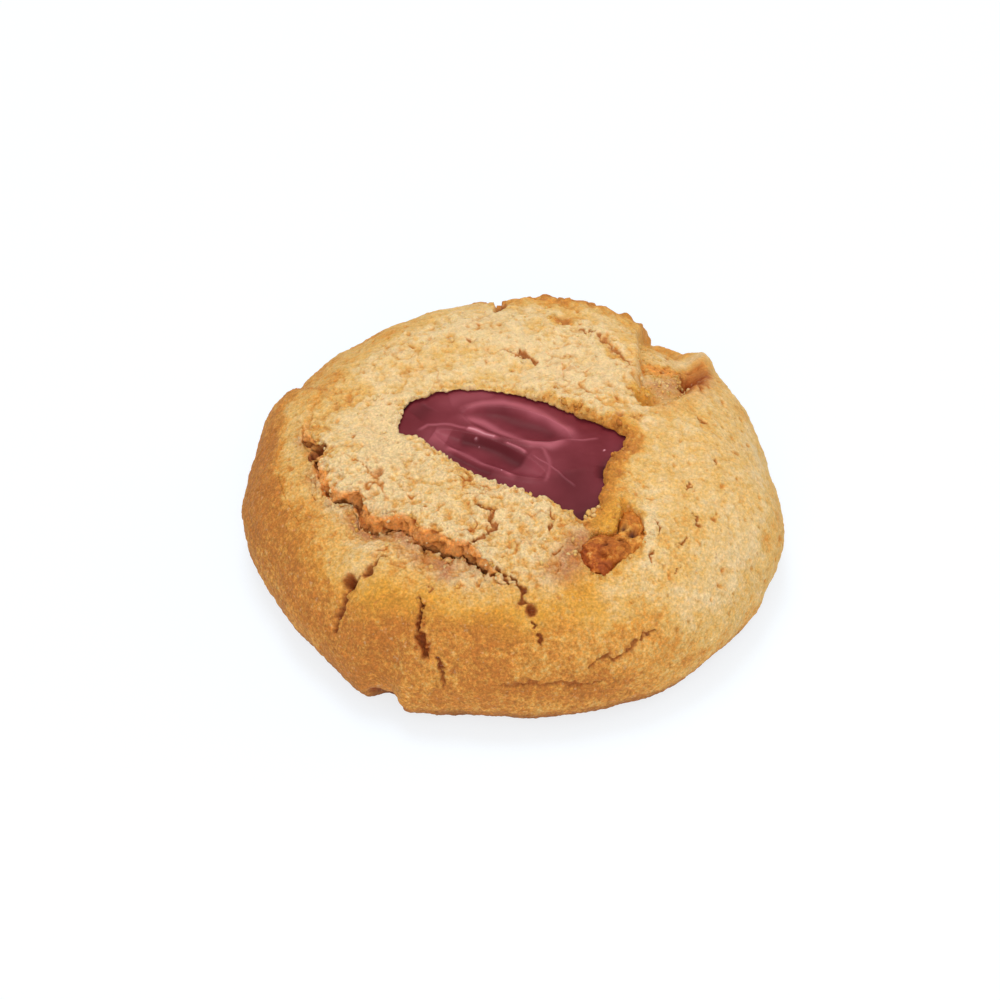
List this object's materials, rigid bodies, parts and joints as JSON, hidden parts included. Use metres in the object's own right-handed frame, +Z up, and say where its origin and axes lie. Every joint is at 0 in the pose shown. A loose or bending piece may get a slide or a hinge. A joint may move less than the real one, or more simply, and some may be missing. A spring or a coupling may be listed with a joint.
{
  "type": "raspberry cookie",
  "caption": "Thick round soft-baked cookie with a cracked golden ring, a crumbly cream top and raspberry chocolate showing in a ragged opening.",
  "frame": {"origin": "on the flat underside, below the middle of the cookie", "axes": "+Z up out of the top, +X to the right and -Y towards the front, as seen from the side where the broken edge of the top lies"},
  "size_m": [0.081, 0.0785, 0.0234],
  "materials": {
    "baked_dough": "dry, crumbly baked dough, golden to cream",
    "raspberry_chocolate": "smooth, softly shining raspberry chocolate",
    "browned_chunk": "rough, browned"
  },
  "bodies": {
    "root": {"cookie": "baked_dough", "raspberry_chocolate": "raspberry_chocolate", "browned_chunk": "browned_chunk"}
  },
  "joints": []
}
